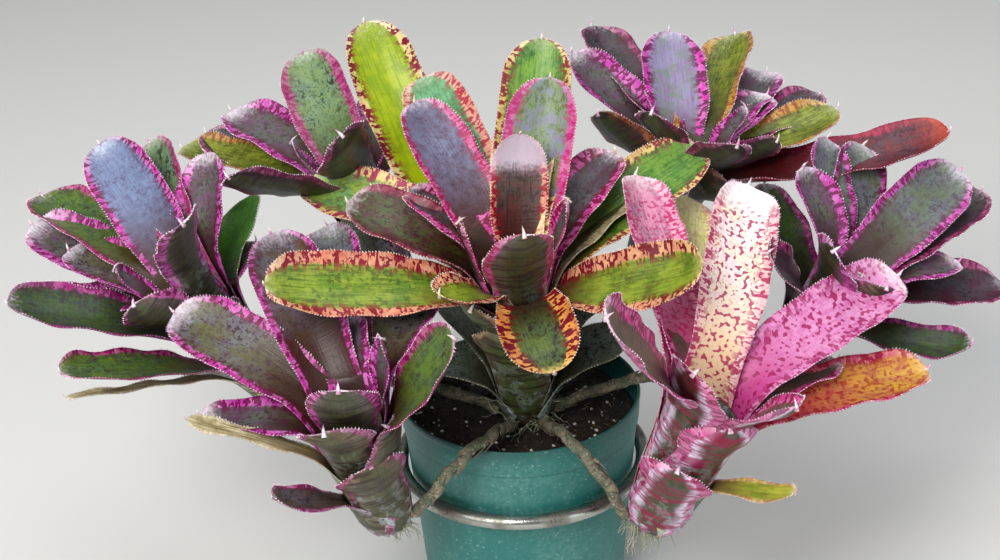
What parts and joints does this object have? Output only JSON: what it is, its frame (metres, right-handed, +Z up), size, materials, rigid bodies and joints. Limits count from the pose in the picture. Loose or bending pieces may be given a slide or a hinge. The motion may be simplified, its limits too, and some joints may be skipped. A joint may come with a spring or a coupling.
{
  "type": "potted bromeliad clump",
  "caption": "Tank bromeliad in a plastic nursery pot: one ringed rosette of strap leaves, with offset rosettes that hang round the rim on woody runners.",
  "frame": {"origin": "centre of the pot bottom, on the surface that the pot stands on", "axes": "+Z up along the pot axis, +X to the right of the front view and along the longest extent of the clump, front faces -Y"},
  "size_m": [0.6714, 0.4434, 0.363],
  "materials": {
    "pot": "moulded teal plastic, satin, a little dusty",
    "hoop": "dull steel tube, lightly tarnished",
    "soil": "damp dark bark mix",
    "stolon": "dry ringed bark",
    "leaf_base": "overlapping sheaths with fine bands and white scurf",
    "leaf_mother": "waxy, yellow green with pink and cream margins",
    "leaf_left_front": "waxy, olive brown with magenta margins",
    "leaf_right_front": "waxy, cream and pink with crimson spots",
    "leaf_left_outer": "grey blue bloom with magenta margins",
    "leaf_right_outer": "grey green bloom with spotted magenta margins",
    "leaf_left_back": "waxy, dark green speckled on pink",
    "leaf_right_back": "waxy, lilac grey striped with magenta margins"
  },
  "bodies": {
    "root": {"left_back_leaf_left_low": "leaf_left_back", "left_back_leaf_left_upper": "leaf_left_back", "left_back_leaf_right_upper": "leaf_left_back", "left_back_leaf_upright": "leaf_left_back", "left_back_stolon": "stolon", "left_back_vase": "leaf_base", "left_front_leaf_back": "leaf_left_front", "left_front_leaf_left_low": "leaf_left_front", "left_front_leaf_left_upper": "leaf_left_front", "left_front_leaf_right_low": "leaf_left_front", "left_front_leaf_right_upper": "leaf_left_front", "left_front_leaf_upright": "leaf_left_front", "left_front_stolon": "stolon", "left_front_vase": "leaf_base", "left_outer_leaf_left_low": "leaf_left_outer", "left_outer_leaf_left_middle": "leaf_left_outer", "left_outer_leaf_lowest": "leaf_left_outer", "left_outer_leaf_right_upper": "leaf_left_outer", "left_outer_leaf_upright": "leaf_left_outer", "left_outer_stolon": "stolon", "left_outer_vase": "leaf_base", "mother_leaf_back_left_long": "leaf_mother", "mother_leaf_back_left_middle": "leaf_mother", "mother_leaf_back_left_short": "leaf_mother", "mother_leaf_back_upright": "leaf_mother", "mother_leaf_centre": "leaf_mother", "mother_leaf_front_low": "leaf_mother", "mother_leaf_left_front": "leaf_mother", "mother_leaf_left_middle": "leaf_mother", "mother_leaf_left_upper": "leaf_mother", "mother_leaf_right_back": "leaf_mother", "mother_leaf_right_front": "leaf_mother", "mother_leaf_right_upper": "leaf_mother", "mother_vase": "leaf_base", "pot": "pot", "pot_hoop": "hoop", "right_back_leaf_back": "leaf_right_back", "right_back_leaf_left": "leaf_right_back", "right_back_leaf_right_low": "leaf_right_back", "right_back_leaf_right_upper": "leaf_right_back", "right_back_leaf_upright": "leaf_right_back", "right_back_stolon": "stolon", "right_back_vase": "leaf_base", "right_front_leaf_back": "leaf_right_front", "right_front_leaf_back_left": "leaf_right_front", "right_front_leaf_left": "leaf_right_front", "right_front_leaf_right_low": "leaf_right_front", "right_front_leaf_right_upper": "leaf_right_front", "right_front_leaf_upright": "leaf_right_front", "right_front_stolon": "stolon", "right_front_vase": "leaf_base", "right_outer_leaf_left_back": "leaf_right_outer", "right_outer_leaf_left_upper": "leaf_right_outer", "right_outer_leaf_lowest": "leaf_right_outer", "right_outer_leaf_right_low": "leaf_right_outer", "right_outer_leaf_right_upper": "leaf_right_outer", "right_outer_leaf_upright": "leaf_right_outer", "right_outer_stolon": "stolon", "right_outer_vase": "leaf_base", "soil": "soil"}
  },
  "joints": []
}
